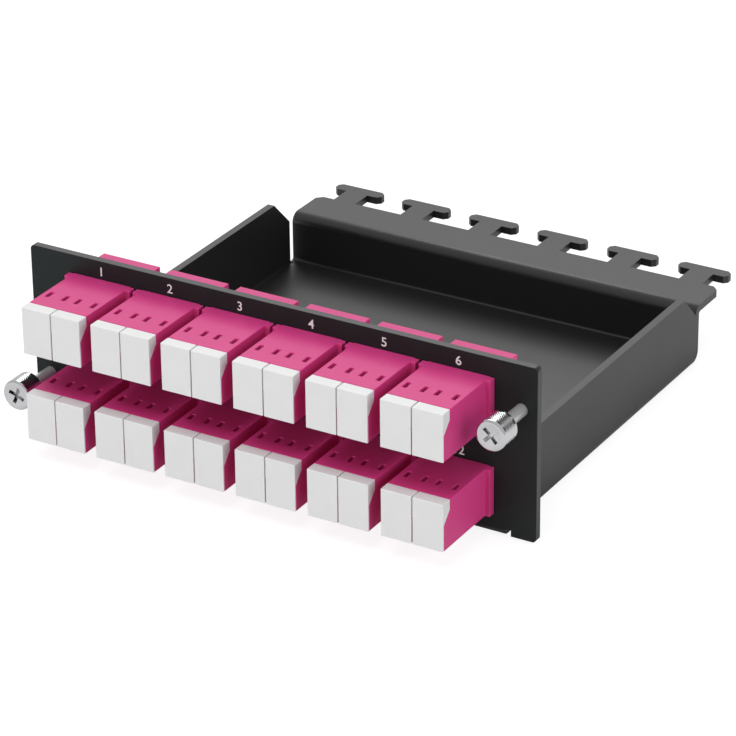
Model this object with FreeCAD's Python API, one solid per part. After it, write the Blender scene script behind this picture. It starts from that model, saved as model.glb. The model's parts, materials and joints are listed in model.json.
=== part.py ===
import FreeCAD, Part
import math
import os

# Fibre cassette: a folded steel tray whose front panel carries two rows of duplex
# adapters, each closed by push-in dust caps, and two captive panel screws.
# Frame: origin at the middle of the panel's rear face, X across, Y to the rear, Z up.
# All sizes are millimetres.

Vec = FreeCAD.Vector

# --- folded sheet -----------------------------------------------------------
SHEET = 1.5                 # sheet thickness
BEND_INNER = 0.5            # inside radius of every fold
PANEL_HEIGHT = 34.3
EAR_WIDTH = 6.65            # panel beyond the tray, each side
PANEL_CORNER = 0.8          # corner radius of the panel
FLOOR_DROP = 0.6            # floor's underside below the panel's lower edge
TRAY_DEPTH = 78.1           # panel's rear face to the rear wall's front face
SIDE_HEIGHT = 16.4          # floor's underside to the side walls' top
SIDE_CHAMFER = 5.7          # cut corner at the rear top of each side wall
SIDE_START = 1.7            # side walls start this far behind the panel
REAR_CORNER_GAP = 1.8       # open slot between a side wall and the rear wall
REAR_INSET = 1.05           # rear wall and its flange, in from the side walls' outsides
FLANGE_HEIGHT = 11.6        # floor's underside to the flange's top
FLANGE_DEPTH = 10.4         # rear wall's front face to the flange's rear edge
FLANGE_CORNER = 1.2         # cut rear corners of the flange
FOLD_RELIEF = 0.5           # width of the slits that free the folds
PANEL_NOTCH_WIDTH = 1.6     # relief notch in the panel beside the floor's fold
PANEL_NOTCH_HEIGHT = 1.2

# --- tie tabs on the flange ---------------------------------------------------
TAB_COUNT = 6
TAB_EDGE = 0.75             # outer bars' ends in from the flange's ends
TAB_STEM_WIDTH = 5.0
TAB_STEM_LENGTH = 4.9
TAB_BAR_WIDTH = 10.9
TAB_BAR_DEPTH = 2.7
TAB_CORNER = 0.8            # cut corners of each tab's bar

# --- adapters -------------------------------------------------------------------
COLUMNS = 6
ROWS = 2
COLUMN_GAP = 0.6            # between neighbouring collars
ROW_PITCH = 17.5
PORT_PITCH = 6.25           # also the width of each half of a body
BODY_HEIGHT = 9.35
BODY_FRONT = 14.15          # body in front of the panel's front face
BODY_REAR = 8.6             # body behind the panel's rear face
CUTOUT_GAP = 0.1            # play between a body and its cut-out, each side
COLLAR_REACH = 0.95         # collar beyond the body, each side
COLLAR_DEPTH = 1.6
PORT_SIZE = 4.8             # square part of a port
PORT_DROP = 0.95            # port's centre below the body's centre
LATCH_WIDTH = 4.3           # latch channel over the square part
LATCH_TOP = 3.6             # its roof above the body's centre
WINDOW_WIDTH = 0.8          # latch windows in the roof, at both sides of a channel
WINDOW_LENGTH = 2.1
WINDOW_SETBACK = 4.45       # body's front edge to the windows' middle
MID_WALL = 2.0              # wall between the front and rear ports
BARREL_RADIUS = 1.45        # tube that holds the sleeve, across its flats
BARREL_SIDES = 8            # flats round the tube, its bore and the sleeve
BARREL_LENGTH = 7.4
SLEEVE_PLAY = 0.03          # radial play of a sleeve in its barrel

# --- alignment sleeves ------------------------------------------------------------
SLEEVE_OUTER = 0.81
SLEEVE_INNER = 0.625
SLEEVE_LENGTH = 6.8
SLEEVE_SLIT = 0.25

# --- spring clips behind the panel --------------------------------------------------
CLIP_SHEET = 0.3
CLIP_DEPTH = 3.0            # strip's width along the body
CLIP_HEIGHT = 7.2           # legs above the body's underside
CLIP_STAND = 1.4            # strip stands this far behind the panel
CLIP_TONGUE_REACH = 0.55    # tongue's toe outside the leg
CLIP_TONGUE_WIDTH = 3.6
CLIP_GROOVE_PLAY = 0.05

# --- dust caps ------------------------------------------------------------------------
CAP_DEPTH = 2.5             # head at its top edge
CAP_LIP = 0.4               # head at its bottom edge
CAP_SHOULDER = 2.0          # full depth over this height
CAP_SLOPE = 2.3             # height of the slope under the shoulder
CAP_GAP = 0.2               # between the two caps of one adapter
CAP_SEAT = 0.05             # between a head and the body
PLUG_PLAY = 0.1             # plug in its port, each side
PLUG_STOP = 1.1             # plug's end short of the barrel
PLUG_WALL = 0.9
REAR_CAP_LIP = 0.6          # low one-piece rear cap past the ports, all round
REAR_CAP_DEPTH = 1.2

# --- captive screws ----------------------------------------------------------------------
SCREW_INSET = 3.15          # each screw's axis from the panel's end
SCREW_RISE = 8.5            # right screw up, left screw down by this
KNOB_RADIUS = 3.0
KNOB_LENGTH = 4.6
KNOB_BEVEL = 0.5
KNOB_STAND = 6.8            # knob's rear face in front of the panel, pulled out
NECK_RADIUS = 1.2
NECK_PLAY = 0.05            # neck in its tapped hole
THREAD_RADIUS = 1.5
THREAD_LENGTH = 2.6
THREAD_BEVEL = 0.4
THREAD_STAND = 0.3          # thread's shoulder behind the panel, pulled out
RECESS_REACH = 1.75         # crossed driver recess in the knob's face
RECESS_WIDTH = 0.8
RECESS_DEPTH = 0.9
RECESS_TURN = 45.0          # its angle from level

# --- places worked out from the sizes -------------------------------------------------------
BODY_WIDTH = 2 * PORT_PITCH
COLUMN_PITCH = BODY_WIDTH + 2 * COLLAR_REACH + COLUMN_GAP
TRAY_WIDTH = COLUMNS * COLUMN_PITCH + 2 * SHEET     # over the side walls
PANEL_WIDTH = TRAY_WIDTH + 2 * EAR_WIDTH            # a quarter of a 19-inch front
REAR_WIDTH = TRAY_WIDTH - 2 * REAR_INSET
TAB_PITCH = (REAR_WIDTH - 2 * TAB_EDGE - TAB_BAR_WIDTH) / (TAB_COUNT - 1)
SCREW_SPREAD = PANEL_WIDTH / 2 - SCREW_INSET
BEND_OUTER = BEND_INNER + SHEET
PANEL_TOP = PANEL_HEIGHT / 2
PANEL_BOTTOM = -PANEL_TOP
UNDERSIDE = PANEL_BOTTOM - FLOOR_DROP
FLOOR_TOP = UNDERSIDE + SHEET
PANEL_FRONT = -SHEET
TRAY_HALF = TRAY_WIDTH / 2
FLAT_HALF = TRAY_HALF - BEND_OUTER          # floor between the side folds
SIDE_TOP = UNDERSIDE + SIDE_HEIGHT
SIDE_END = TRAY_DEPTH - REAR_CORNER_GAP
REAR_HALF = REAR_WIDTH / 2
REAR_FOLD = TRAY_DEPTH + SHEET - BEND_OUTER  # where the floor turns up
FLANGE_TOP = UNDERSIDE + FLANGE_HEIGHT
FLANGE_END = TRAY_DEPTH + FLANGE_DEPTH
BODY_START = PANEL_FRONT - BODY_FRONT
BODY_MIDDLE = (BODY_START + BODY_REAR) / 2
BARREL_REACH = BARREL_LENGTH / 2
PLUG_LENGTH = BODY_REAR - BODY_MIDDLE - BARREL_REACH - PLUG_STOP
HALF_BODY = BODY_WIDTH / 2
HALF_HEIGHT = BODY_HEIGHT / 2
CAP_FACE = BODY_START - CAP_DEPTH - CAP_SEAT
SKIN = 1.0                  # overlap of a cutting tool past the face that it cuts


def box(x0, x1, y0, y1, z0, z1):
    """Block between two corners."""
    return Part.makeBox(x1 - x0, y1 - y0, z1 - z0, Vec(x0, y0, z0))


def prism(points, along):
    """Closed outline of points, pushed along a vector."""
    return Part.Face(Part.makePolygon(points + points[:1])).extrude(along)


def prism_x(outline, x0, x1):
    """(y, z) outline between two X planes."""
    return prism([Vec(x0, y, z) for y, z in outline], Vec(x1 - x0, 0, 0))


def prism_y(outline, y0, y1):
    """(x, z) outline between two Y planes."""
    return prism([Vec(x, y0, z) for x, z in outline], Vec(0, y1 - y0, 0))


def prism_z(outline, z0, z1):
    """(x, y) outline between two Z planes."""
    return prism([Vec(x, y, z0) for x, y in outline], Vec(0, 0, z1 - z0))


def fold(place, along, centre, first):
    """Quarter fold of the sheet round centre, starting at the angle first (degrees).

    place turns a pair of plane coordinates into a point, along is the fold's length.
    """
    def point(radius, angle):
        turn = math.radians(angle)
        return place(centre[0] + radius * math.cos(turn), centre[1] + radius * math.sin(turn))

    middle, last = first + 45, first + 90
    edges = [
        Part.Arc(point(BEND_OUTER, first), point(BEND_OUTER, middle), point(BEND_OUTER, last)).toShape(),
        Part.makeLine(point(BEND_OUTER, last), point(BEND_INNER, last)),
        Part.Arc(point(BEND_INNER, last), point(BEND_INNER, middle), point(BEND_INNER, first)).toShape(),
        Part.makeLine(point(BEND_INNER, first), point(BEND_OUTER, first)),
    ]
    return Part.Face(Part.Wire(edges)).extrude(along)


def fold_x(half, centre, first):
    """Fold that runs across the cassette, centre given as (y, z)."""
    return fold(lambda y, z: Vec(-half, y, z), Vec(2 * half, 0, 0), centre, first)


def fold_y(y0, y1, centre, first):
    """Fold that runs front to back, centre given as (x, z)."""
    return fold(lambda x, z: Vec(x, y0, z), Vec(0, y1 - y0, 0), centre, first)


def cylinder(radius, x, y0, y1, z):
    """Round bar along Y."""
    return Part.makeCylinder(radius, y1 - y0, Vec(x, y0, z), Vec(0, 1, 0))


def flatted(radius, centre, reach):
    """Bar on a port's axis with flats at the given radius, reach long to each side of the body's middle."""
    corner = radius / math.cos(math.pi / BARREL_SIDES)
    turns = [math.tau * (i + 0.5) / BARREL_SIDES for i in range(BARREL_SIDES)]
    outline = [(centre + corner * math.cos(turn), corner * math.sin(turn) - PORT_DROP) for turn in turns]
    return prism_y(outline, BODY_MIDDLE - reach, BODY_MIDDLE + reach)


def mirrored(shape):
    """The same shape on the other side of the middle plane."""
    return shape.mirror(Vec(0, 0, 0), Vec(1, 0, 0))


def fused(shapes):
    """One clean solid from touching shapes."""
    return shapes[0].multiFuse(shapes[1:]).removeSplitter().Solids[0]


def edges_along_y(shape):
    """Edges that run front to back."""
    boxes = [(edge, edge.BoundBox) for edge in shape.Edges]
    return [edge for edge, bounds in boxes if bounds.XLength + bounds.ZLength < bounds.YLength]


def column_x(column):
    """X of an adapter column, counted from 0 at the left."""
    return (column - (COLUMNS - 1) / 2) * COLUMN_PITCH


def row_z(row):
    """Z of an adapter row, counted from 0 at the top."""
    return ((ROWS - 1) / 2 - row) * ROW_PITCH


def places():
    """Number and (x, z) of every adapter, along the top row first."""
    return [(row * COLUMNS + column + 1, column_x(column), row_z(row))
            for row in range(ROWS) for column in range(COLUMNS)]


# --- the folded tray ---------------------------------------------------------------------------

def panel():
    """Front panel with the adapter cut-outs, tapped holes and fold notches."""
    half = PANEL_WIDTH / 2
    plate = box(-half, half, PANEL_FRONT, 0, PANEL_BOTTOM, PANEL_TOP)
    plate = plate.makeFillet(PANEL_CORNER, edges_along_y(plate))
    tools = []
    for _, x, z in places():
        wide, high = HALF_BODY + CUTOUT_GAP, HALF_HEIGHT + CUTOUT_GAP
        tools.append(box(x - wide, x + wide, PANEL_FRONT - SKIN, SKIN, z - high, z + high))
    for side in (-1, 1):
        tools.append(cylinder(NECK_RADIUS + NECK_PLAY, side * SCREW_SPREAD,
                              PANEL_FRONT - SKIN, SKIN, side * SCREW_RISE))
        notch = sorted((side * TRAY_HALF, side * (TRAY_HALF + PANEL_NOTCH_WIDTH)))
        tools.append(box(notch[0], notch[1], PANEL_FRONT - SKIN, SKIN,
                         PANEL_BOTTOM - SKIN, PANEL_BOTTOM + PANEL_NOTCH_HEIGHT))
    # the sheet between the notches turns under the fold instead of ending there
    tools.append(box(-TRAY_HALF, TRAY_HALF, PANEL_FRONT - SKIN, SKIN,
                     PANEL_BOTTOM - SKIN, UNDERSIDE + BEND_OUTER))
    return plate.cut(tools)


def floor():
    """Flat floor, stepped in beside the side folds and out again at both ends."""
    front = BEND_OUTER - SHEET
    half_outline = [
        (TRAY_HALF, front),
        (TRAY_HALF, SIDE_START - FOLD_RELIEF),
        (FLAT_HALF, SIDE_START - FOLD_RELIEF),
        (FLAT_HALF, SIDE_END + FOLD_RELIEF),
        (REAR_HALF, SIDE_END + FOLD_RELIEF),
        (REAR_HALF, REAR_FOLD),
    ]
    outline = half_outline + [(-x, y) for x, y in reversed(half_outline)]
    return prism_z(outline, UNDERSIDE, FLOOR_TOP)


def side_wall():
    """Right side wall with its fold and its cut rear corner."""
    bend = fold_y(SIDE_START, SIDE_END, (FLAT_HALF, UNDERSIDE + BEND_OUTER), -90)
    wall = prism_x([
        (SIDE_START, UNDERSIDE + BEND_OUTER),
        (SIDE_END, UNDERSIDE + BEND_OUTER),
        (SIDE_END, SIDE_TOP - SIDE_CHAMFER),
        (SIDE_END - SIDE_CHAMFER, SIDE_TOP),
        (SIDE_START, SIDE_TOP),
    ], TRAY_HALF - SHEET, TRAY_HALF)
    return [bend, wall]


def tie_tab(x):
    """T-shaped tab on the flange's rear edge, to hold a cable tie."""
    stem, bar = TAB_STEM_WIDTH / 2, TAB_BAR_WIDTH / 2
    neck_end = FLANGE_END + TAB_STEM_LENGTH
    tip = neck_end + TAB_BAR_DEPTH
    right = [(x + stem, FLANGE_END), (x + stem, neck_end), (x + bar - TAB_CORNER, neck_end),
             (x + bar, neck_end + TAB_CORNER), (x + bar, tip - TAB_CORNER), (x + bar - TAB_CORNER, tip)]
    left = [(2 * x - across, y) for across, y in reversed(right)]
    return prism_z(right + left, FLANGE_TOP - SHEET, FLANGE_TOP)


def rear_wall():
    """Rear wall with its two folds, the flange and the tie tabs."""
    wall_foot = UNDERSIDE + BEND_OUTER
    wall_head = FLANGE_TOP - BEND_OUTER
    flange_start = TRAY_DEPTH + BEND_OUTER
    flange_half = [(REAR_HALF, flange_start), (REAR_HALF, FLANGE_END - FLANGE_CORNER),
                   (REAR_HALF - FLANGE_CORNER, FLANGE_END)]
    flange = prism_z(flange_half + [(-x, y) for x, y in reversed(flange_half)],
                     FLANGE_TOP - SHEET, FLANGE_TOP)
    tabs = [tie_tab((i - (TAB_COUNT - 1) / 2) * TAB_PITCH) for i in range(TAB_COUNT)]
    return [
        fold_x(REAR_HALF, (REAR_FOLD, wall_foot), -90),
        box(-REAR_HALF, REAR_HALF, TRAY_DEPTH, TRAY_DEPTH + SHEET, wall_foot, wall_head),
        fold_x(REAR_HALF, (flange_start, wall_head), 90),
        flange,
    ] + tabs


def tray():
    """The whole folded sheet as one solid."""
    front_fold = fold_x(TRAY_HALF, (BEND_OUTER - SHEET, UNDERSIDE + BEND_OUTER), 180)
    right = side_wall()
    left = [mirrored(piece) for piece in right]
    return fused([panel(), front_fold, floor()] + right + left + rear_wall())


# --- one adapter --------------------------------------------------------------------------------

def front_profile():
    """Front end of the body in (y, z): stepped back at the top for the cap's head."""
    seat = CAP_FACE + CAP_LIP + CAP_SEAT
    shoulder = HALF_HEIGHT - CAP_SHOULDER
    return [(BODY_REAR, -HALF_HEIGHT), (seat, -HALF_HEIGHT), (seat, shoulder - CAP_SLOPE),
            (BODY_START, shoulder), (BODY_START, HALF_HEIGHT), (BODY_REAR, HALF_HEIGHT)]


def port_outline(centre):
    """Square port with the latch channel over it, as an (x, z) outline."""
    half, latch = PORT_SIZE / 2, LATCH_WIDTH / 2
    low, high = -PORT_DROP - half, -PORT_DROP + half
    return [(centre - half, low), (centre + half, low), (centre + half, high), (centre + latch, high),
            (centre + latch, LATCH_TOP), (centre - latch, LATCH_TOP), (centre - latch, high),
            (centre - half, high)]


def port_centres():
    """X of the two ports in an adapter's own frame."""
    return (-PORT_PITCH / 2, PORT_PITCH / 2)


def latch_windows(centre, middle):
    """Tools for the two windows in the roof over one port, where a plug's latch catches."""
    tools = []
    front, rear = middle - WINDOW_LENGTH / 2, middle + WINDOW_LENGTH / 2
    for x in (centre - LATCH_WIDTH / 2, centre + LATCH_WIDTH / 2 - WINDOW_WIDTH):
        tools.append(box(x, x + WINDOW_WIDTH, front, rear, LATCH_TOP - SKIN, HALF_HEIGHT + SKIN))
    return tools


def adapter():
    """Duplex housing about its own axis: body, collar, ports and sleeve barrels."""
    body = prism_x(front_profile(), -HALF_BODY, HALF_BODY)
    wide = HALF_BODY + COLLAR_REACH
    collar = box(-wide, wide, PANEL_FRONT - COLLAR_DEPTH, PANEL_FRONT, -HALF_HEIGHT, HALF_HEIGHT)
    groove = box(-HALF_BODY - SKIN, HALF_BODY + SKIN, CLIP_STAND - CLIP_GROOVE_PLAY,
                 CLIP_STAND + CLIP_DEPTH + CLIP_GROOVE_PLAY, -HALF_HEIGHT - SKIN,
                 CLIP_HEIGHT - HALF_HEIGHT + CLIP_GROOVE_PLAY)
    inner_x, inner_z = HALF_BODY - CLIP_SHEET, HALF_HEIGHT - CLIP_SHEET
    groove = groove.cut(box(-inner_x, inner_x, 0, BODY_REAR, -inner_z, HALF_HEIGHT))
    wall_front, wall_rear = BODY_MIDDLE - MID_WALL / 2, BODY_MIDDLE + MID_WALL / 2
    tools, barrels, bores = [groove], [], []
    for centre in port_centres():
        outline = port_outline(centre)
        tools.append(prism_y(outline, CAP_FACE - SKIN, wall_front))
        tools.append(prism_y(outline, wall_rear, BODY_REAR + SKIN))
        tools += latch_windows(centre, BODY_START + WINDOW_SETBACK)
        tools += latch_windows(centre, BODY_REAR - WINDOW_SETBACK)
        barrels.append(flatted(BARREL_RADIUS, centre, BARREL_REACH))
        bores.append(flatted(SLEEVE_OUTER + SLEEVE_PLAY, centre, BARREL_REACH + SKIN))
    body = body.fuse(collar).cut(tools)
    return fused([body] + barrels).cut(bores).Solids[0]


def sleeve(centre):
    """Split ceramic sleeve in one barrel, in its adapter's frame."""
    reach, half = SLEEVE_LENGTH / 2, SLEEVE_SLIT / 2
    bore = flatted(SLEEVE_INNER, centre, reach + SKIN)
    slit = box(centre - half, centre + half, BODY_MIDDLE - reach - SKIN, BODY_MIDDLE + reach + SKIN,
               -PORT_DROP, SLEEVE_OUTER + SKIN - PORT_DROP)
    return flatted(SLEEVE_OUTER, centre, reach).cut([bore, slit]).Solids[0]


def clip():
    """Spring steel clip in its adapter's frame: a strip under the body, two legs, two toes on the panel."""
    front, rear = CLIP_STAND, CLIP_STAND + CLIP_DEPTH
    inner, low = HALF_BODY - CLIP_SHEET, -HALF_HEIGHT
    top = low + CLIP_HEIGHT
    strip = [box(-HALF_BODY, HALF_BODY, front, rear, low, low + CLIP_SHEET),
             box(-HALF_BODY, -inner, front, rear, low, top),
             box(inner, HALF_BODY, front, rear, low, top)]
    toe_low = low + (CLIP_HEIGHT - CLIP_TONGUE_WIDTH) / 2
    heel = front + CLIP_DEPTH / 2
    toe = prism_z([(HALF_BODY, heel), (HALF_BODY + CLIP_TONGUE_REACH, 0),
                   (HALF_BODY + CLIP_TONGUE_REACH + CLIP_SHEET, 0), (HALF_BODY, heel + CLIP_SHEET * 2)],
                  toe_low, toe_low + CLIP_TONGUE_WIDTH)
    return fused(strip + [toe, mirrored(toe)])


# --- dust caps --------------------------------------------------------------------------------------

def head_profile():
    """Side view of a front cap's head in (y, z): deep at the top, thin below."""
    shoulder = HALF_HEIGHT - CAP_SHOULDER
    back = CAP_FACE + CAP_DEPTH
    return [(CAP_FACE, -HALF_HEIGHT), (CAP_FACE + CAP_LIP, -HALF_HEIGHT),
            (CAP_FACE + CAP_LIP, shoulder - CAP_SLOPE), (back, shoulder), (back, HALF_HEIGHT),
            (CAP_FACE, HALF_HEIGHT)]


def plug(centre, y0, y1, open_rear):
    """Square hollow plug from y0 to y1, open at its inner end."""
    half = PORT_SIZE / 2 - PLUG_PLAY
    inner = half - PLUG_WALL
    start, end = (y0 + PLUG_WALL, y1 + SKIN) if open_rear else (y0 - SKIN, y1 - PLUG_WALL)
    solid = box(centre - half, centre + half, y0, y1, -PORT_DROP - half, half - PORT_DROP)
    return solid.cut(box(centre - inner, centre + inner, start, end, -PORT_DROP - inner, inner - PORT_DROP))


def front_cap(side):
    """Simplex cap in its adapter's frame; side is -1 for the left port, 1 for the right."""
    centre = side * PORT_PITCH / 2
    near, far = CAP_GAP / 2, HALF_BODY
    x0, x1 = (near, far) if side > 0 else (-far, -near)
    head = prism_x(head_profile(), x0, x1)
    return fused([head, plug(centre, CAP_FACE + CAP_LIP, BODY_START + PLUG_LENGTH, True)])


def rear_cap():
    """Duplex cap over the rear ports, in its adapter's frame."""
    near = BODY_REAR + CAP_SEAT
    reach = PORT_SIZE / 2 + REAR_CAP_LIP
    half = PORT_PITCH / 2 + reach
    head = box(-half, half, near, near + REAR_CAP_DEPTH, -PORT_DROP - reach, reach - PORT_DROP)
    plugs = [plug(centre, BODY_REAR - PLUG_LENGTH, near, False) for centre in port_centres()]
    return fused([head] + plugs)


# --- captive screws -----------------------------------------------------------------------------------

def screw(x, z):
    """Knob, neck and thread turned in one piece, pulled out as far as the thread's shoulder lets it."""
    knob_rear = PANEL_FRONT - KNOB_STAND
    knob_front = knob_rear - KNOB_LENGTH
    shoulder = THREAD_STAND
    tip = shoulder + THREAD_LENGTH
    profile = [
        (0, knob_front),
        (KNOB_RADIUS - KNOB_BEVEL, knob_front),
        (KNOB_RADIUS, knob_front + KNOB_BEVEL),
        (KNOB_RADIUS, knob_rear),
        (NECK_RADIUS, knob_rear),
        (NECK_RADIUS, shoulder),
        (THREAD_RADIUS, shoulder),
        (THREAD_RADIUS, tip - THREAD_BEVEL),
        (THREAD_RADIUS - THREAD_BEVEL, tip),
        (0, tip),
    ]
    points = [Vec(radius, y, 0) for radius, y in profile]
    turned = Part.Face(Part.makePolygon(points + points[:1])).revolve(Vec(0, 0, 0), Vec(0, 1, 0), 360)
    arm = box(-RECESS_REACH, RECESS_REACH, knob_front - SKIN, knob_front + RECESS_DEPTH,
              -RECESS_WIDTH / 2, RECESS_WIDTH / 2)
    arms = [arm.rotated(Vec(0, 0, 0), Vec(0, 1, 0), RECESS_TURN + quarter) for quarter in (0, 90)]
    return turned.cut(arms).Solids[0].translated(Vec(x, 0, z))


# --- files ------------------------------------------------------------------------------------------------

def save(shapes, node):
    """Write one node's STEP file."""
    shape = shapes[0] if len(shapes) == 1 else Part.makeCompound(shapes)
    shape.exportStep("parts/" + node + ".step")
    print(node, len(shape.Solids), "solids", round(shape.Volume, 2), "mm3", "valid", shape.isValid())


def main():
    """Build every node."""
    os.makedirs("parts", exist_ok=True)
    save([tray()], "folded_tray")
    housing, holder = adapter(), clip()
    left_cap, right_cap, duplex_cap = front_cap(-1), front_cap(1), rear_cap()
    pair = [sleeve(centre) for centre in port_centres()]
    sleeves, clips = [], []
    for number, x, z in places():
        place, tag = Vec(x, 0, z), "%02d" % number
        save([housing.translated(place)], "adapter_" + tag)
        save([left_cap.translated(place)], "front_cap_" + tag + "_left")
        save([right_cap.translated(place)], "front_cap_" + tag + "_right")
        save([duplex_cap.translated(place)], "rear_cap_" + tag)
        sleeves += [liner.translated(place) for liner in pair]
        clips.append(holder.translated(place))
    save(sleeves, "alignment_sleeves")
    save(clips, "adapter_clips")
    save([screw(-SCREW_SPREAD, -SCREW_RISE)], "captive_screw_left")
    save([screw(SCREW_SPREAD, SCREW_RISE)], "captive_screw_right")


main()
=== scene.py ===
"""Looks of the fibre cassette: finishes, printed port numbers, knurled screws and broken edges.

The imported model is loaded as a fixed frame. Lengths are in metres, along that frame's axes, and
what sits on one of its pieces takes its place from the piece's box.
"""
from __future__ import annotations

import json
import logging
import math
from collections.abc import Callable, Iterable, Mapping, Sequence
from dataclasses import dataclass, field
from enum import Enum

import bmesh
import bpy
from mathutils import Matrix, Vector

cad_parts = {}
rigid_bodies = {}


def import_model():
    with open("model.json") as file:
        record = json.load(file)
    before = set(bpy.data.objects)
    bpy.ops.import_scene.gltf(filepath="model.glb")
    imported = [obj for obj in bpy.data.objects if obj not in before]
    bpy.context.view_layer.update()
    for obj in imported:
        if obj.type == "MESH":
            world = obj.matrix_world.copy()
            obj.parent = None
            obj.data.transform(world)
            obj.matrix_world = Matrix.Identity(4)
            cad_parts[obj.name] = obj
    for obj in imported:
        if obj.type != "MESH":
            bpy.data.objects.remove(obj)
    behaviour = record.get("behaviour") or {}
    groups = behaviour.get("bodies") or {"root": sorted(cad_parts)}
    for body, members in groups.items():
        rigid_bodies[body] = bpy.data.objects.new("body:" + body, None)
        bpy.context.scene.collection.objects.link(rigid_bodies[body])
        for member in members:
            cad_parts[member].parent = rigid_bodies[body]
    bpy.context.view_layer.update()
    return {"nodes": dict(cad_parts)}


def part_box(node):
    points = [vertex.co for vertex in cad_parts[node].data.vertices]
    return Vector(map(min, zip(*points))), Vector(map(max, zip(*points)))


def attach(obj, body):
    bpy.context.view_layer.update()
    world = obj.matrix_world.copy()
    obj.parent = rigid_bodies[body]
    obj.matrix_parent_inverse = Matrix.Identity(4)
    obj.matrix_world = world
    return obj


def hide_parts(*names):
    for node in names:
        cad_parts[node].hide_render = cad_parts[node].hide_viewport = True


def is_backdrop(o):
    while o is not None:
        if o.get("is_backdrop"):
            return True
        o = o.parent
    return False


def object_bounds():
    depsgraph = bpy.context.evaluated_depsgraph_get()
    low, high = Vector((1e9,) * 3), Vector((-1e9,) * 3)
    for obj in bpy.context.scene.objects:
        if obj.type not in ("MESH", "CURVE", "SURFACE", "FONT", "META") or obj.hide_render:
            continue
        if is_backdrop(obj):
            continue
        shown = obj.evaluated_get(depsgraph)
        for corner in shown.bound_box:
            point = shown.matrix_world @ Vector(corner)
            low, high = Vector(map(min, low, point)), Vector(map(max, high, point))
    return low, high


LOG = logging.getLogger("fibre_cassette")
MM = 0.001
CARRIER = "cassette"
ADAPTERS = 12

Colour = tuple[float, float, float]


# ---------------------------------------------------------------------------------------------
# Shader wiring
# ---------------------------------------------------------------------------------------------

class Signal:
    """The output of a shader node, which Python arithmetic extends with Math nodes."""

    def __init__(self, shader: "Shader", socket: bpy.types.NodeSocket) -> None:
        """Wrap a socket.

        Args:
            shader: The shader that the socket belongs to.
            socket: The output socket.
        """
        self.shader = shader
        self.socket = socket

    def _math(self, operation: str, left: "Feed", right: "Feed") -> "Signal":
        """Join two values by one Math node."""
        return self.shader.node("ShaderNodeMath", {"operation": operation}, {0: left, 1: right})

    def __add__(self, other: "Feed") -> "Signal":
        """This value plus another."""
        return self._math("ADD", self, other)

    def __radd__(self, other: "Feed") -> "Signal":
        """Another value plus this one."""
        return self._math("ADD", other, self)

    def __sub__(self, other: "Feed") -> "Signal":
        """This value less another."""
        return self._math("SUBTRACT", self, other)

    def __rsub__(self, other: "Feed") -> "Signal":
        """Another value less this one."""
        return self._math("SUBTRACT", other, self)

    def __mul__(self, other: "Feed") -> "Signal":
        """This value times another."""
        return self._math("MULTIPLY", self, other)

    def __rmul__(self, other: "Feed") -> "Signal":
        """Another value times this one."""
        return self._math("MULTIPLY", other, self)

    def __lt__(self, limit: "Feed") -> "Signal":
        """1 where this value is below a limit, 0 elsewhere."""
        return self._math("LESS_THAN", self, limit)

    def wave(self) -> "Signal":
        """Sine of this value, in radians."""
        return self.shader.node("ShaderNodeMath", {"operation": "SINE"}, {0: self})

    def larger(self, other: "Feed") -> "Signal":
        """The larger of this value and another."""
        return self._math("MAXIMUM", self, other)


Feed = Signal | float | Sequence[float]


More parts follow.
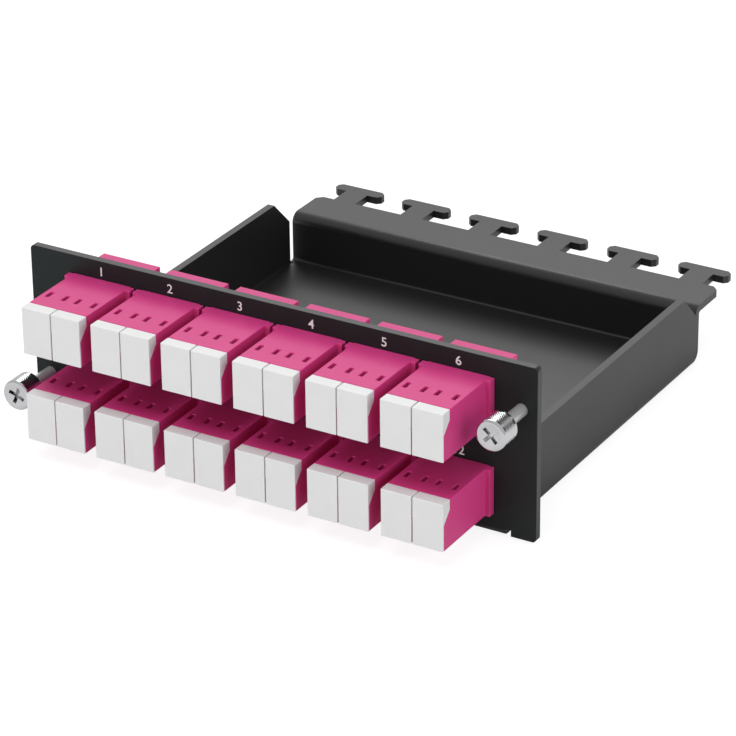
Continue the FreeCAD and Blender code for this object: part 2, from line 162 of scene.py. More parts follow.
class Shader:
    """A material or a world while it is being wired."""

    def __init__(self, owner: bpy.types.Material | bpy.types.World, output: str) -> None:
        """Empty the owner's node tree.

        Args:
            owner: The material or world.
            output: Type of its output node.
        """
        owner.use_nodes = True
        self.tree = owner.node_tree
        self.tree.nodes.clear()
        self.end = self.tree.nodes.new(output)

    def node(self, kind: str, settings: Mapping[str, object] | None = None,
             inputs: Mapping[str | int, Feed] | None = None, output: str | int = 0) -> Signal:
        """Add one node.

        Args:
            kind: Blender's name for the node's type.
            settings: Properties, set before the inputs. "stops" is handed to _fill_ramp, which this
                script doesn't define.
            inputs: Values or links by the input's name or number.
            output: Name or number of the output wanted.

        Returns:
            That output.
        """
        made = self.tree.nodes.new(kind)
        for name, value in (settings or {}).items():
            if name == "stops":
                self._fill_ramp(made.color_ramp, value)
            else:
                setattr(made, name, value)
        for name, value in (inputs or {}).items():
            self.feed(made.inputs[name], value)
        return Signal(self, made.outputs[output])

    def feed(self, socket: bpy.types.NodeSocket, value: Feed) -> None:
        """Link a signal to an input, or set a plain value on it.

        Args:
            socket: The input.
            value: A signal, a number, or a colour or vector with or without its last part.
        """
        if isinstance(value, Signal):
            self.tree.links.new(value.socket, socket)
        elif isinstance(value, (int, float)):
            socket.default_value = value
        else:
            wanted = len(socket.default_value)
            socket.default_value = tuple(value) + (1.0,) * (wanted - len(value))

    def mix(self, share: Feed, first: Feed, second: Feed) -> Signal:
        """Blend two colours.

        Args:
            share: 0 for the first, 1 for the second.
            first: First colour.
            second: Second colour.

        Returns:
            The blended colour.
        """
        # the node's colour sockets share their names with its others, so they go by number
        return self.node("ShaderNodeMix", {"data_type": "RGBA"}, {0: share, 6: first, 7: second}, 2)

    def place(self) -> Signal:
        """The point on the surface, in metres."""
        return self.node("ShaderNodeTexCoord", output="Object")

    def along(self, place: Signal, axis: str) -> Signal:
        """One coordinate of a point.

        Args:
            place: The point.
            axis: "X", "Y" or "Z".

        Returns:
            The coordinate.
        """
        return self.node("ShaderNodeSeparateXYZ", None, {0: place}, axis)

    def noise(self, place: Signal, grain: float, detail: float = 2.0, rough: float = 0.5) -> Signal:
        """Cloudy noise from 0 to 1.

        Args:
            place: Where it is read.
            grain: Size of its largest lumps, in metres.
            detail: Number of finer layers.
            rough: Strength of the finer layers.

        Returns:
            The noise.
        """
        return self.node("ShaderNodeTexNoise", None, {
            "Vector": place,
            "Scale": 1.0 / grain,
            "Detail": detail,
            "Roughness": rough,
        })

    def bump(self, height: Feed, depth: float, under: Signal | None = None) -> Signal:
        """Normal of a surface raised by a height.

        Args:
            height: Height from 0 to 1.
            depth: What a height of 1 stands for, in metres.
            under: Normal that the bump is laid on.

        Returns:
            The normal.
        """
        inputs: dict[str | int, Feed] = {"Height": height, "Distance": depth, "Strength": 1.0}
        if under is not None:
            inputs["Normal"] = under
        return self.node("ShaderNodeBump", None, inputs)

    def finish(self, shading: Signal) -> None:
        """Join the last shader to the output."""
        self.tree.links.new(shading.socket, self.end.inputs["Surface"])


def new_material(name: str) -> tuple[bpy.types.Material, Shader]:
    """An empty material and its wiring."""
    material = bpy.data.materials.new(name)
    return material, Shader(material, "ShaderNodeOutputMaterial")


# ---------------------------------------------------------------------------------------------
# Finishes
# ---------------------------------------------------------------------------------------------

@dataclass(frozen=True)
class PowderCoat:
    """Satin black powder coat over steel: a slight orange peel with fine grit in it.

    The panel's front face has painted shade: a darker colour and a weaker, tinted sheen stand for
    the shade it lies in.
    """

    colour: Colour = (0.0100, 0.0102, 0.0104)
    grit_colour: Colour = (0.019, 0.019, 0.020)
    grit_share: float = 1.6         # how strongly the grit's highest grains take its colour
    ior: float = 1.56
    roughness: float = 0.40
    roughness_play: float = 0.06    # slow drift of the roughness over the sheet
    grit_play: float = 0.08         # change of the roughness from grain to grain
    # painted shade: the front face's darker colour and weaker, tinted sheen below stand for its
    # shade
    dull_colour: Colour = (0.0067, 0.0082, 0.0079)
    dull_ior: float = 1.5
    dull_roughness: float = 0.55
    dull_shine: float = 0.31        # specular level of the front face, lowered as painted shade; 0.5 being a plain coat
    dull_tint: Colour = (0.82, 1.0, 1.0)
    dull_before: float = -1.40 * MM  # the front face with painted shade lies before this place along Y
    drift: float = 14 * MM
    peel: float = 0.9 * MM
    peel_height: float = 0.0035 * MM
    grit: float = 0.16 * MM
    grit_height: float = 0.0022 * MM

    def material(self) -> bpy.types.Material:
        """Wire the finish.

        Returns:
            The material.
        """
        made, shader = new_material("black_powder_coat")
        place = shader.place()
        peel = shader.noise(place, self.peel, detail=1.0)
        grit = shader.noise(place, self.grit, detail=3.0, rough=0.6)
        cloud = shader.noise(place, self.drift, detail=2.0)
        speck = (grit * grit * grit) * self.grit_share
        normal = shader.bump(grit, self.grit_height, shader.bump(peel, self.peel_height))
        tint = shader.mix(speck, self.colour, self.grit_colour)
        unevenness = (cloud - 0.5) * self.roughness_play + (grit - 0.5) * self.grit_play
        satin = shader.node("ShaderNodeBsdfPrincipled", None, {
            "Base Color": tint,
            "Roughness": self.roughness + unevenness,
            "IOR": self.ior,
            "Normal": normal,
        })
        # painted shade on the panel's front face: darker and less shiny than the rest of the coat
        dull = shader.node("ShaderNodeBsdfPrincipled", None, {
            "Base Color": shader.mix(speck, self.dull_colour, self.grit_colour),
            "Roughness": self.dull_roughness + unevenness,
            "IOR": self.dull_ior,
            "Specular IOR Level": self.dull_shine,
            "Specular Tint": self.dull_tint,
            "Normal": normal,
        })
        shaded_front = shader.along(place, "Y") < self.dull_before
        shader.finish(shader.node("ShaderNodeMixShader", None, {0: shaded_front, 1: satin, 2: dull}))
        return made


@dataclass(frozen=True)
class MouldedPlastic:
    """Moulded plastic with the fine etched grain of its tool and faint flow marks."""

    name: str
    colour: Colour
    shade: Colour
    roughness: float = 0.42
    roughness_play: float = 0.12
    sheen: float = 0.34             # specular level
    ior: float = 1.48
    grain: float = 0.11 * MM
    grain_height: float = 0.0016 * MM
    flow: float = 3.5 * MM
    sink: float = 7.7 * MM          # shallow sink marks, this far apart
    sink_depth: float = 0.012 * MM

    def material(self) -> bpy.types.Material:
        """Wire the finish.

        Returns:
            The material.
        """
        made, shader = new_material(self.name)
        place = shader.place()
        grain = shader.noise(place, self.grain, detail=2.0)
        flow = shader.noise(place, self.flow, detail=2.0, rough=0.4)
        sink = shader.noise(place, self.sink, detail=0.0)
        normal = shader.bump(grain, self.grain_height, shader.bump(sink, self.sink_depth))
        shader.finish(shader.node("ShaderNodeBsdfPrincipled", None, {
            "Base Color": shader.mix(flow, self.shade, self.colour),
            "Roughness": self.roughness + (grain - 0.5) * self.roughness_play,
            "IOR": self.ior,
            "Specular IOR Level": self.sheen,
            "Normal": normal,
        }))
        return made


@dataclass(frozen=True)
class TurnedChrome:
    """Bright plating over turned metal: a polished knob and a brushed neck with fine tool rings."""

    colour: Colour = (0.67, 0.67, 0.68)
    haze_colour: Colour = (0.60, 0.60, 0.62)
    roughness: float = 0.07
    haze_roughness: float = 0.07    # added where the haze is thickest
    haze: float = 0.8 * MM
    neck_colour: Colour = (0.90, 0.90, 0.91)
    neck_roughness: float = 0.30
    neck_metal: float = 0.70        # below 1, as the brushed neck also scatters like a matt face
    neck_behind: float = -8.3 * MM  # the neck starts at this place along Y
    ring: float = 0.09 * MM
    ring_height: float = 0.0008 * MM

    def material(self) -> bpy.types.Material:
        """Wire the finish.

        Returns:
            The material.
        """
        made, shader = new_material("bright_chrome")
        place = shader.place()
        along = shader.along(place, "Y")
        rings = (along * (math.tau / self.ring)).wave() * 0.5 + 0.5
        knob = along < self.neck_behind
        haze = shader.noise(place, self.haze, detail=3.0, rough=0.6)
        polish = shader.mix(haze, self.colour, self.haze_colour)
        brushed = knob * (self.roughness - self.neck_roughness) + self.neck_roughness
        shader.finish(shader.node("ShaderNodeBsdfPrincipled", None, {
            "Base Color": shader.mix(knob, self.neck_colour, polish),
            "Metallic": knob * (1.0 - self.neck_metal) + self.neck_metal,
            "Roughness": brushed + haze * self.haze_roughness,
            "Normal": shader.bump(rings, self.ring_height),
        }))
        return made


@dataclass(frozen=True)
class RolledSpring:
    """Bare rolled spring steel: a fine straight grain along the strip."""

    colour: Colour = (0.52, 0.51, 0.48)
    grain_colour: Colour = (0.66, 0.65, 0.62)
    roughness: float = 0.30
    grain_roughness: float = 0.15
    grain: float = 0.8 * MM
    grain_height: float = 0.002 * MM
    drawn: float = 18.0             # the grain is this many times as long as it is wide

    def material(self) -> bpy.types.Material:
        """Wire the finish.

        Returns:
            The material.
        """
        made, shader = new_material("spring_steel")
        place = shader.place()
        drawn = shader.node("ShaderNodeMapping", None,
                            {"Vector": place, "Scale": (1.0, self.drawn, 1.0)})
        grain = shader.noise(drawn, self.grain, detail=4.0, rough=0.6)
        shader.finish(shader.node("ShaderNodeBsdfPrincipled", None, {
            "Base Color": shader.mix(grain, self.colour, self.grain_colour),
            "Metallic": 1.0,
            "Roughness": self.roughness + grain * self.grain_roughness,
            "Normal": shader.bump(grain, self.grain_height),
        }))
        return made


@dataclass(frozen=True)
class GroundCeramic:
    """Ground zirconia: ivory white, close to a gloss."""

    colour: Colour = (0.86, 0.84, 0.79)
    grind_colour: Colour = (0.80, 0.78, 0.72)
    roughness: float = 0.18
    grind_roughness: float = 0.10
    grind: float = 0.06 * MM
    grind_height: float = 0.0006 * MM

    def material(self) -> bpy.types.Material:
        """Wire the finish.

        Returns:
            The material.
        """
        made, shader = new_material("white_ceramic")
        place = shader.place()
        grind = shader.noise(place, self.grind, detail=2.0)
        shader.finish(shader.node("ShaderNodeBsdfPrincipled", None, {
            "Base Color": shader.mix(grind, self.colour, self.grind_colour),
            "Roughness": self.roughness + grind * self.grind_roughness,
            "Normal": shader.bump(grind, self.grind_height),
        }))
        return made


@dataclass(frozen=True)
class ScreenInk:
    """White screen-printed ink, a little thin and uneven over the grit below it."""

    colour: Colour = (0.74, 0.75, 0.74)
    thin_colour: Colour = (0.58, 0.59, 0.59)
    roughness: float = 0.55
    grit_roughness: float = 0.1
    grit: float = 0.16 * MM
    grit_height: float = 0.002 * MM

    def material(self) -> bpy.types.Material:
        """Wire the finish.

        Returns:
            The material.
        """
        made, shader = new_material("white_ink")
        place = shader.place()
        grit = shader.noise(place, self.grit, detail=3.0, rough=0.6)
        shader.finish(shader.node("ShaderNodeBsdfPrincipled", None, {
            "Base Color": shader.mix(grit, self.thin_colour, self.colour),
            "Roughness": self.roughness + grit * self.grit_roughness,
            "Normal": shader.bump(grit, self.grit_height),
        }))
        return made


class Finish(Enum):
    """The finishes on the cassette."""

    COAT = PowderCoat()
    HOUSING = MouldedPlastic("magenta_housing", (0.670, 0.054, 0.240), (0.625, 0.047, 0.218),
                             sheen=0.28)
    CAP = MouldedPlastic("white_cap", (0.79, 0.79, 0.79), (0.75, 0.75, 0.755), roughness=0.38)
    CHROME = TurnedChrome()
    SPRING = RolledSpring()
    CERAMIC = GroundCeramic()
    INK = ScreenInk()

    def material(self) -> bpy.types.Material:
        """The finish's material, made on first use."""
        return Paints.of(self)


class Paints:
    """Materials that have been made, one for each finish."""

    made: dict[Finish, bpy.types.Material] = {}

    @classmethod
    def of(cls, finish: Finish) -> bpy.types.Material:
        """Material of a finish.

        Args:
            finish: The finish.

        Returns:
            Its material, the same one each time.
        """
        if finish not in cls.made:
            cls.made[finish] = finish.value.material()
        return cls.made[finish]


def dress(piece: bpy.types.Object, finish: Finish) -> None:
    """Give a piece one finish all over.

    Args:
        piece: The piece.
        finish: The finish.
    """
    piece.data.materials.clear()
    piece.data.materials.append(finish.material())
    LOG.info("%s: %s, %d faces", piece.name, finish.name.lower(), len(piece.data.polygons))


# ---------------------------------------------------------------------------------------------
# Edges and meshes
# ---------------------------------------------------------------------------------------------

@dataclass(frozen=True)
class EdgeBreak:
    """How far a piece's sharp edges are rounded off."""

    width: float
    segments: int = 2
    angle: float = 28.0             # degrees between faces above which an edge counts as sharp
    flat_angle: float = 0.6         # degrees below which neighbouring faces are one flat face
    weld: float = 0.001 * MM

    def apply(self, piece: bpy.types.Object) -> None:
        """Add the rounding as modifiers, which leave the piece's own mesh alone.

        Args:
            piece: The piece.
        """
        weld = piece.modifiers.new("weld", "WELD")
        weld.merge_threshold = self.weld
        flat = piece.modifiers.new("flats", "DECIMATE")
        flat.decimate_type = "DISSOLVE"
        flat.angle_limit = math.radians(self.flat_angle)
        bevel = piece.modifiers.new("edge_break", "BEVEL")
        bevel.width = self.width
        bevel.segments = self.segments
        bevel.limit_method = "ANGLE"
        bevel.angle_limit = math.radians(self.angle)
        bevel.use_clamp_overlap = True
        bevel.harden_normals = True
        bevel.miter_outer = "MITER_SHARP"
        bevel.loop_slide = False  # even widths keep the faces round holes whole


def mesh_piece(name: str, mesh: bpy.types.Mesh, finish: Finish, body: str) -> bpy.types.Object:
    """Put a mesh in the scene as a piece.

    Args:
        name: The piece's name.
        mesh: Its mesh, in the row frame.
        finish: Its finish.
        body: The CAD body that carries it.

    Returns:
        The piece.
    """
    piece = bpy.data.objects.new(name, mesh)
    bpy.context.scene.collection.objects.link(piece)
    dress(piece, finish)
    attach(piece, body)
    return piece


# ---------------------------------------------------------------------------------------------
# Sub-assemblies
# ---------------------------------------------------------------------------------------------

Nodes = Mapping[str, bpy.types.Object]
Ring = tuple[float, Callable[[float], float]]  # place along a screw, and radius by angle


def round_ring(place: float, radius: float) -> Ring:
    """A plain round ring.

    Args:
        place: Its place along the screw.
        radius: Its radius.

    Returns:
        The ring.
    """
    return place, lambda angle: radius


@dataclass
class FoldedTray:
    """The one folded sheet: panel, floor, walls, flange and tie tabs."""

    nodes: Nodes
    edge: EdgeBreak = EdgeBreak(0.16 * MM)

    def build(self) -> None:
        """Coat the sheet and break its cut edges."""
        tray = self.nodes["folded_tray"]
        dress(tray, Finish.COAT)
        self.edge.apply(tray)


@dataclass
class AdapterBank:
    """Twelve duplex adapters with the clips and sleeves that belong to them."""

    nodes: Nodes
    edge: EdgeBreak = EdgeBreak(0.18 * MM)
    clip_edge: EdgeBreak = EdgeBreak(0.04 * MM, segments=1)

    def build(self) -> None:
        """Dress the housings, the clips and the sleeves."""
        for number in range(1, ADAPTERS + 1):
            housing = self.nodes[f"adapter_{number:02d}"]
            dress(housing, Finish.HOUSING)
            self.edge.apply(housing)
        dress(self.nodes["adapter_clips"], Finish.SPRING)
        self.clip_edge.apply(self.nodes["adapter_clips"])
        dress(self.nodes["alignment_sleeves"], Finish.CERAMIC)


@dataclass
class DustCaps:
    """The caps over the front and rear ports."""

    nodes: Nodes
    edge: EdgeBreak = EdgeBreak(0.14 * MM)

    def build(self) -> None:
        """Dress every cap."""
        for name in sorted(self.nodes):
            if "_cap_" in name:
                dress(self.nodes[name], Finish.CAP)
                self.edge.apply(self.nodes[name])


@dataclass
class CaptiveScrew:
    """One captive screw, turned and knurled: replaces the plain solid of its node."""

    node: str
    turn: float                     # degrees by which the recess is turned
    around: int = 272               # faces round the screw
    knob_length: float = 4.6 * MM
    crown: float = 0.5 * MM         # rounding of the knob's front edge; the rear one has half
    crown_steps: int = 6
    dish_depth: float = 0.28 * MM
    dish_rim: float = 0.35 * MM
    dish_steps: int = 10
    recess_reach: float = 2.15 * MM
    recess_width: float = 0.95 * MM
    recess_depth: float = 1.2 * MM
    recess_taper: float = 0.62      # the recess's floor over its mouth
    knurl_count: int = 34
    knurl_share: float = 0.5        # width of a groove over the knurl's pitch
    knurl_depth: float = 0.035 * MM
    knurl_margin: float = 0.75 * MM
    knurl_fade: float = 0.2 * MM
    knurl_steps: int = 44
    rounding_steps: int = 3
    neck_radius: float = 1.2 * MM
    neck_fillet: float = 0.25 * MM
    thread_rise: float = 0.3 * MM   # crest over the neck
    thread_length: float = 2.6 * MM
    thread_pitch: float = 0.5 * MM
    thread_depth: float = 0.27 * MM
    thread_point: float = 0.4 * MM
    thread_shoulder: float = 0.02 * MM
    thread_steps: int = 10          # rings in each turn of the thread
    crease: float = 38.0            # degrees between faces above which an edge stays sharp
    axis_x: float = field(init=False)
    axis_z: float = field(init=False)
    front: float = field(init=False)
    rear: float = field(init=False)
    radius: float = field(init=False)

    def __post_init__(self) -> None:
        """Read the axis, the ends and the knob's radius from the frame."""
        low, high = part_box(self.node)
        self.axis_x = (low.x + high.x) / 2
        self.axis_z = (low.z + high.z) / 2
        self.front, self.rear = low.y, high.y
        self.radius = (high.x - low.x) / 2

    def knurl(self, angle: float, along: float) -> float:
        """Depth of the crossed knurl below the knob's surface.

        Args:
            angle: Angle round the knob, in radians.
            along: Distance from the knob's front.

        Returns:
            The depth, in metres.
        """
        per_length = self.knurl_count / (math.tau * self.radius)
        cuts = []
        for hand in (-1, 1):
            phase = (self.knurl_count * angle / math.tau + hand * along * per_length) % 1.0
            cuts.append(max(0.0, 1.0 - abs(phase - 0.5) * 2 / self.knurl_share))
        near_end = min(along, self.knob_length - along) - self.knurl_margin
        fade = min(1.0, max(0.0, near_end / self.knurl_fade))
        return self.knurl_depth * max(cuts) * fade

    def thread(self, angle: float, along: float) -> float:
        """Depth of the thread below its crest.

        Args:
            angle: Angle round the screw, in radians.
            along: Distance from the thread's shoulder.

        Returns:
            The depth, in metres.
        """
        phase = (along / self.thread_pitch - angle / math.tau) % 1.0
        return self.thread_depth * abs(2.0 * phase - 1.0)

    @staticmethod
    def quarter(steps: int) -> list[tuple[float, float]]:
        """A quarter of a circle.

        Args:
            steps: Number of steps along it.

        Returns:
            What is still missing from 1 in the sine and in the cosine, from 0 to 90 degrees.
        """
        bends = [math.pi / 2 * step / steps for step in range(steps + 1)]
        return [(1 - math.sin(bend), 1 - math.cos(bend)) for bend in bends]

    def face(self) -> list[Ring]:
        """Rings of the dished face and the knob's front edge.

        Returns:
            The rings, from front to rear.
        """
        bowl = self.radius - self.crown - self.dish_rim
        shares = [step / self.dish_steps for step in range(1, self.dish_steps + 1)]
        dish = [round_ring(self.front + self.dish_depth * (1 - share * share), share * bowl)
                for share in shares]
        edge = [round_ring(self.front + self.crown * down, self.radius - self.crown * out)
                for out, down in self.quarter(self.crown_steps)]
        return dish + edge

    def side(self) -> list[Ring]:
        """Rings of the knurled side and the knob's rear edge.

        Returns:
            The rings, from front to rear.
        """
        start, stop = self.crown, self.knob_length - self.crown / 2
        rings: list[Ring] = []
        for step in range(1, self.knurl_steps):
            along = start + (stop - start) * step / self.knurl_steps
            rings.append((self.front + along, lambda a, s=along: self.radius - self.knurl(a, s)))
        back, edge = self.front + self.knob_length, self.crown / 2
        return rings + [round_ring(back - edge * down, self.radius - edge * out)
                        for down, out in self.quarter(self.rounding_steps)]

    def neck(self) -> list[Ring]:
        """Rings of the bare neck.

        Returns:
            The rings, from front to rear.
        """
        back = self.front + self.knob_length
        fillet = [round_ring(back + self.neck_fillet * down,
                             self.neck_radius + self.neck_fillet * out)
                  for out, down in self.quarter(self.rounding_steps)]
        shoulder = self.rear - self.thread_length - self.thread_shoulder
        return fillet + [round_ring(shoulder, self.neck_radius)]

    def shank(self) -> list[Ring]:
        """Rings of the threaded end.

        Returns:
            The rings, from front to rear.
        """
        crest = self.neck_radius + self.thread_rise
        steps = int(self.thread_length / self.thread_pitch * self.thread_steps)
        rings: list[Ring] = []
        for step in range(steps + 1):
            along = self.thread_length * step / steps
            limit = crest - max(0.0, along - (self.thread_length - self.thread_point))
            rings.append((self.rear - self.thread_length + along,
                          lambda a, s=along, top=limit: min(top, crest - self.thread(a, s))))
        return rings

    def turned(self) -> bpy.types.Mesh:
        """Mesh of the turned shape.

        Returns:
            A closed mesh about the screw's own axis, in the row frame.
        """
        shape = bmesh.new()
        angles = [math.tau * i / self.around for i in range(self.around)]
        made = []
        for y, reach in self.face() + self.side() + self.neck() + self.shank():
            made.append([shape.verts.new((self.axis_x + reach(a) * math.cos(a), y,
                                          self.axis_z + reach(a) * math.sin(a))) for a in angles])
        for near, far in zip(made, made[1:]):
            for i in range(self.around):
                j = (i + 1) % self.around
                shape.faces.new((near[i], near[j], far[j], far[i]))
        shape.faces.new(made[0][::-1])
        shape.faces.new(made[-1])
        bmesh.ops.recalc_face_normals(shape, faces=shape.faces)
        mesh = bpy.data.meshes.new(self.node + "_turned")
        shape.to_mesh(mesh)
        shape.free()
        return mesh

    def recess(self) -> bpy.types.Object:
        """Tool that cuts the crossed driver recess.

        Returns:
            The tool, which isn't shown.
        """
        shape = bmesh.new()
        centre = Vector((self.axis_x, self.front, self.axis_z))
        for arm in (0, 90):
            turn = Matrix.Rotation(math.radians(self.turn + arm), 4, "Y")
            block = bmesh.ops.create_cube(shape, size=2.0)["verts"]
            for vert in block:
                deep = vert.co.y > 0
                taper = self.recess_taper if deep else 1.0
                local = Vector((vert.co.x * self.recess_reach * taper,
                                self.recess_depth if deep else -self.recess_depth,
                                vert.co.z * self.recess_width / 2 * taper))
                vert.co = centre + (turn @ local)
        mesh = bpy.data.meshes.new(self.node + "_recess")
        shape.to_mesh(mesh)
        shape.free()
        tool = bpy.data.objects.new(self.node + "_recess", mesh)
        bpy.context.scene.collection.objects.link(tool)
        return tool

    def build(self) -> bpy.types.Object:
        """Make the screw in place of its plain solid.

        Returns:
            The piece.
        """
        rough = bpy.data.objects.new(self.node + "_rough", self.turned())
        bpy.context.scene.collection.objects.link(rough)
        tool = self.recess()
        cut = rough.modifiers.new("recess", "BOOLEAN")
        cut.object = tool
        cut.operation = "DIFFERENCE"
        cut.solver = "EXACT"
        cut.use_self = True
        ready = rough.evaluated_get(bpy.context.evaluated_depsgraph_get())
        mesh = bpy.data.meshes.new_from_object(ready)
        mesh.name = self.node + "_knurled"
        bpy.data.objects.remove(rough)
        bpy.data.objects.remove(tool)
        mesh.shade_smooth()
        piece = mesh_piece(self.node + "_knurled", mesh, Finish.CHROME, self.node)
        smooth = piece.modifiers.new("creases", "EDGE_SPLIT")
        smooth.split_angle = math.radians(self.crease)
        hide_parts(self.node)
        return piece


@dataclass
class PortNumerals:
    """Port numbers 1 to 12 printed on the panel, one over each adapter."""

    panel_thickness: float = 1.5 * MM
    letter_size: float = 2.5 * MM
    film: float = 0.012 * MM
    spread: float = 0.03 * MM       # ink past the letter's own outline
    above: float = 1.55 * MM        # from an adapter's top to the number's middle

    def build(self) -> None:
        """Print the numbers."""
        for number in range(1, ADAPTERS + 1):
            low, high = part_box(f"adapter_{number:02d}")
            middle = (low.x + high.x) / 2
            self.numeral(number, Vector((middle, -self.panel_thickness, high.z + self.above)))

    def numeral(self, number: int, place: Vector) -> None:
        """Print one number.

        Args:
            number: The number.
            place: Its middle on the panel's face.
        """
        text = bpy.data.curves.new(f"numeral_{number:02d}", "FONT")
        text.body = str(number)
        text.size = self.letter_size
        text.align_x = "CENTER"
        text.align_y = "CENTER"
        text.extrude = self.film / 2
        text.offset = self.spread
        writing = bpy.data.objects.new(text.name, text)
        bpy.context.scene.collection.objects.link(writing)
        mesh = bpy.data.meshes.new_from_object(
            writing.evaluated_get(bpy.context.evaluated_depsgraph_get()))
        bpy.data.objects.remove(writing)
        facing = Matrix.Translation(place) @ Matrix.Rotation(math.radians(90), 4, "X")
        mesh.transform(facing)
        mesh_piece(f"numeral_{number:02d}", mesh, Finish.INK, CARRIER)


# ---------------------------------------------------------------------------------------------
# Studio
# ---------------------------------------------------------------------------------------------

@dataclass(frozen=True)
class Lamp:
    """One soft lamp, which the eye doesn't see."""

    name: str
    place: tuple[float, float, float]
    power: float                    # watts
    size: float = 0.6               # side of its square, in metres
    mirrored: bool = False          # True if glossy faces show it

    def hang(self, aim: Vector) -> None:
        """Hang the lamp.

        Args:
            aim: The point that it faces.
        """
        data = bpy.data.lights.new(self.name, "AREA")
        data.energy = self.power
        data.size = self.size
        lamp = bpy.data.objects.new(self.name, data)
        bpy.context.scene.collection.objects.link(lamp)
        lamp.location = self.place
        lamp.rotation_mode = "QUATERNION"
        lamp.rotation_quaternion = (aim - Vector(self.place)).to_track_quat("-Z", "Y")
        lamp.visible_glossy = self.mirrored
        lamp.visible_camera = False


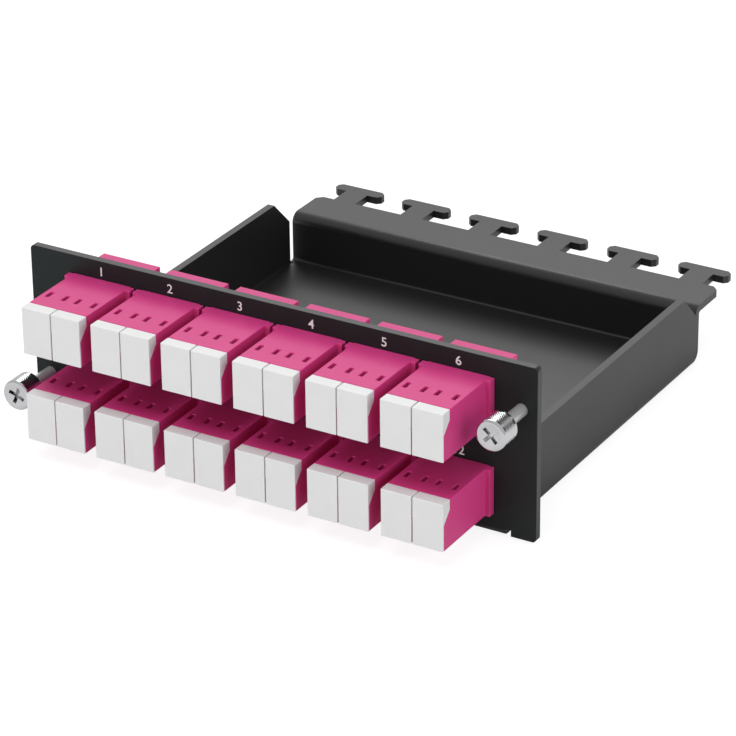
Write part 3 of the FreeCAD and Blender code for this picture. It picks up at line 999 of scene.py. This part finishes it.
@dataclass
class Studio:
    """White sweep, soft light and the camera."""

    azimuth: float = 30.62          # degrees round from the front
    elevation: float = 26.48        # degrees above the horizon
    roll: float = -0.64             # degrees
    distance: float = 684.8 * MM
    aim: tuple[float, float, float] = (9.82 * MM, 14.26 * MM, 0.02 * MM)
    lens: float = 183.3             # millimetres
    sensor: float = 36.0            # millimetres
    clip: tuple[float, float] = (0.05, 20.0)
    dome: float = 0.35              # diffuse light of the surroundings, 1 being white
    walls: float = 0.62             # the surroundings in a mirrored view
    cards: tuple[tuple[float, float, float], ...] = ((0.59, 0.77, 0.24), (0.17, 0.77, 0.62))
    card_size: float = 11.0         # degrees from a card's middle to the middle of its soft edge
    card_edge: float = 4.0          # half the width of that edge, in degrees
    card_depth: float = 0.9         # share of the mirrored light that a card takes
    floor_reach: float = 4.0
    floor_gap: float = 0.04 * MM    # the floor lies this far below the tray, as they share no face
    floor_colour: Colour = (0.26, 0.26, 0.26)
    floor_mirrored: Colour = (0.84, 0.84, 0.84)
    floor_light: float = 0.27       # what the floor adds to its diffuse light on the cassette
    floor_to_eye: float = 0.86      # and what it adds to its own look
    lamps: tuple[Lamp, ...] = (
        Lamp("back_left", (-0.42, 0.74, 0.82), 3.7, size=0.66, mirrored=True),
        Lamp("overhead", (-0.05, -0.45, 1.05), 5.2),
        Lamp("front", (-0.30, -1.30, 0.16), 7.0),
        Lamp("right", (1.15, -0.10, 0.35), 8.2, size=1.2),
        Lamp("behind", (0.10, 1.30, 0.10), 5.0),
    )

    def camera(self) -> None:
        """Place the camera."""
        turn, lift = math.radians(self.azimuth), math.radians(self.elevation)
        back = Vector((math.sin(turn) * math.cos(lift), -math.cos(turn) * math.cos(lift),
                       math.sin(lift)))
        right = Vector((math.cos(turn), math.sin(turn), 0.0))
        up = back.cross(right)
        lean = math.radians(self.roll)
        across = right * math.cos(lean) + up * math.sin(lean)
        upward = up * math.cos(lean) - right * math.sin(lean)
        data = bpy.data.cameras.new("camera")
        data.lens = self.lens
        data.sensor_width = self.sensor
        data.clip_start, data.clip_end = self.clip
        camera = bpy.data.objects.new("camera", data)
        bpy.context.scene.collection.objects.link(camera)
        rows = Matrix((across, upward, back)).transposed().to_4x4()
        camera.matrix_world = Matrix.Translation(Vector(self.aim) + back * self.distance) @ rows
        bpy.context.scene.camera = camera

    def glow(self, shader: Shader, to_light: float, to_eye: float, to_gloss: Feed) -> Signal:
        """Strength of the surroundings by the way they are looked at.

        Args:
            shader: The shader that needs it.
            to_light: Strength as a light on the cassette.
            to_eye: Strength where the eye sees them, straight or through something.
            to_gloss: Strength in a mirrored view.

        Returns:
            The strength.
        """
        camera = shader.node("ShaderNodeLightPath", output="Is Camera Ray")
        through = shader.node("ShaderNodeLightPath", output="Is Transmission Ray")
        mirror = shader.node("ShaderNodeLightPath", output="Is Glossy Ray")
        lift = to_gloss - to_light
        return camera.larger(through) * (to_eye - to_light) + mirror * lift + to_light

    def surroundings(self) -> None:
        """Wire the world: white to the eye, softer as a light, with dark cards for bright metal."""
        world = bpy.data.worlds.new("studio")
        bpy.context.scene.world = world
        shader = Shader(world, "ShaderNodeOutputWorld")
        towards = shader.node("ShaderNodeTexCoord", output="Generated")
        gloss: Feed = self.walls
        for card in self.cards:
            facing = shader.node("ShaderNodeVectorMath", {"operation": "DOT_PRODUCT"},
                                 {0: towards, 1: Vector(card).normalized()}, "Value")
            inside = shader.node("ShaderNodeMapRange", {"interpolation_type": "SMOOTHSTEP"}, {
                "Value": facing,
                "From Min": math.cos(math.radians(self.card_size + self.card_edge)),
                "From Max": math.cos(math.radians(self.card_size - self.card_edge)),
            })
            gloss = gloss * (1.0 - inside * self.card_depth)
        shader.finish(shader.node("ShaderNodeBackground", None, {
            "Color": (1.0, 1.0, 1.0),
            "Strength": self.glow(shader, self.dome, 1.0, gloss),
        }))

    def floor(self) -> None:
        """Lay the pale floor, which keeps the cassette's shadow and is clear from below."""
        low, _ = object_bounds()
        reach, level = self.floor_reach, low.z - self.floor_gap
        mesh = bpy.data.meshes.new("floor")
        corners = [(x * reach, y * reach, level) for x, y in ((-1, -1), (1, -1), (1, 1), (-1, 1))]
        mesh.from_pydata(corners, [], [(0, 1, 2, 3)])
        floor = bpy.data.objects.new("floor", mesh)
        bpy.context.scene.collection.objects.link(floor)
        material, shader = new_material("pale_floor")
        matt = shader.node("ShaderNodeBsdfDiffuse", None, {"Color": self.floor_colour})
        glow = shader.node("ShaderNodeEmission", None, {
            "Color": (1.0, 1.0, 1.0),
            "Strength": self.glow(shader, self.floor_light, self.floor_to_eye, 0.0),
        })
        bright = shader.node("ShaderNodeAddShader", None, {0: matt, 1: glow})
        mirrored = shader.node("ShaderNodeBsdfDiffuse", None, {"Color": self.floor_mirrored})
        gloss = shader.node("ShaderNodeLightPath", output="Is Glossy Ray")
        top = shader.node("ShaderNodeMixShader", None, {0: gloss, 1: bright, 2: mirrored})
        clear = shader.node("ShaderNodeBsdfTransparent")
        below = shader.node("ShaderNodeNewGeometry", output="Backfacing")
        shader.finish(shader.node("ShaderNodeMixShader", None, {0: below, 1: top, 2: clear}))
        mesh.materials.append(material)
        floor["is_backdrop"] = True

    def build(self) -> None:
        """Make the studio."""
        self.camera()
        self.surroundings()
        self.floor()
        for lamp in self.lamps:
            lamp.hang(Vector(self.aim))
        bpy.context.scene.view_settings.view_transform = "Standard"


# ---------------------------------------------------------------------------------------------
# Building
# ---------------------------------------------------------------------------------------------


def main() -> None:
    """Load the frame, dress it and set it in the studio."""
    logging.basicConfig(level=logging.INFO, format="%(name)s: %(message)s")
    for thing in list(bpy.data.objects):
        bpy.data.objects.remove(thing)
    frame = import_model()
    nodes: Nodes = frame["nodes"]
    FoldedTray(nodes).build()
    AdapterBank(nodes).build()
    DustCaps(nodes).build()
    CaptiveScrew("captive_screw_left", turn=20.0).build()
    CaptiveScrew("captive_screw_right", turn=45.0).build()
    PortNumerals().build()
    Studio().build()


if __name__ == "__main__":
    main()
